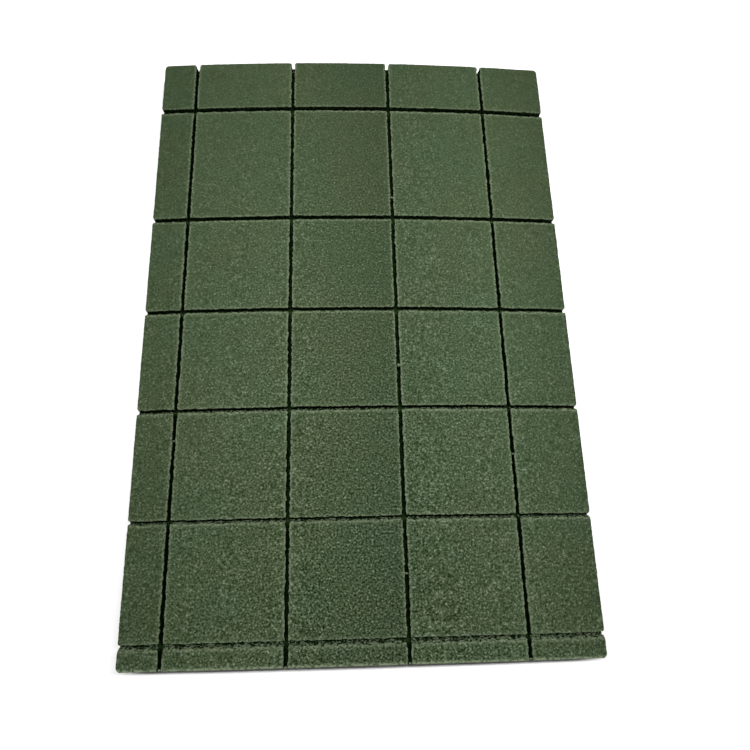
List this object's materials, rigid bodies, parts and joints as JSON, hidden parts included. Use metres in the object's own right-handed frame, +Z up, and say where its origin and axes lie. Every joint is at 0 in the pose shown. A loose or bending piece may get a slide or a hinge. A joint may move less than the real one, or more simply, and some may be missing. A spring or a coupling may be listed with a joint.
{
  "type": "grooved floral foam sheet",
  "caption": "Dark green floral foam sheet, slightly arched across its width, with a sawn grid of grooves that divides it into snap-off blocks of several sizes.",
  "frame": {"origin": "middle of the footprint, on the surface that the sheet stands on", "axes": "+Z up, +Y along the length and away from the narrow first row of blocks, +X across the width towards the wider of the two narrow columns"},
  "size_m": [0.4, 0.6, 0.0329],
  "materials": {
    "foam": "matte"
  },
  "bodies": {
    "root": {"block_row1_col1": "foam", "block_row1_col2": "foam", "block_row1_col3": "foam", "block_row1_col4": "foam", "block_row1_col5": "foam", "block_row2_col1": "foam", "block_row2_col2": "foam", "block_row2_col3": "foam", "block_row2_col4": "foam", "block_row2_col5": "foam", "block_row3_col1": "foam", "block_row3_col2": "foam", "block_row3_col3": "foam", "block_row3_col4": "foam", "block_row3_col5": "foam", "block_row4_col1": "foam", "block_row4_col2": "foam", "block_row4_col3": "foam", "block_row4_col4": "foam", "block_row4_col5": "foam", "block_row5_col1": "foam", "block_row5_col2": "foam", "block_row5_col3": "foam", "block_row5_col4": "foam", "block_row5_col5": "foam", "block_row6_col1": "foam", "block_row6_col2": "foam", "block_row6_col3": "foam", "block_row6_col4": "foam", "block_row6_col5": "foam", "block_row7_col1": "foam", "block_row7_col2": "foam", "block_row7_col3": "foam", "block_row7_col4": "foam", "block_row7_col5": "foam"}
  },
  "joints": []
}
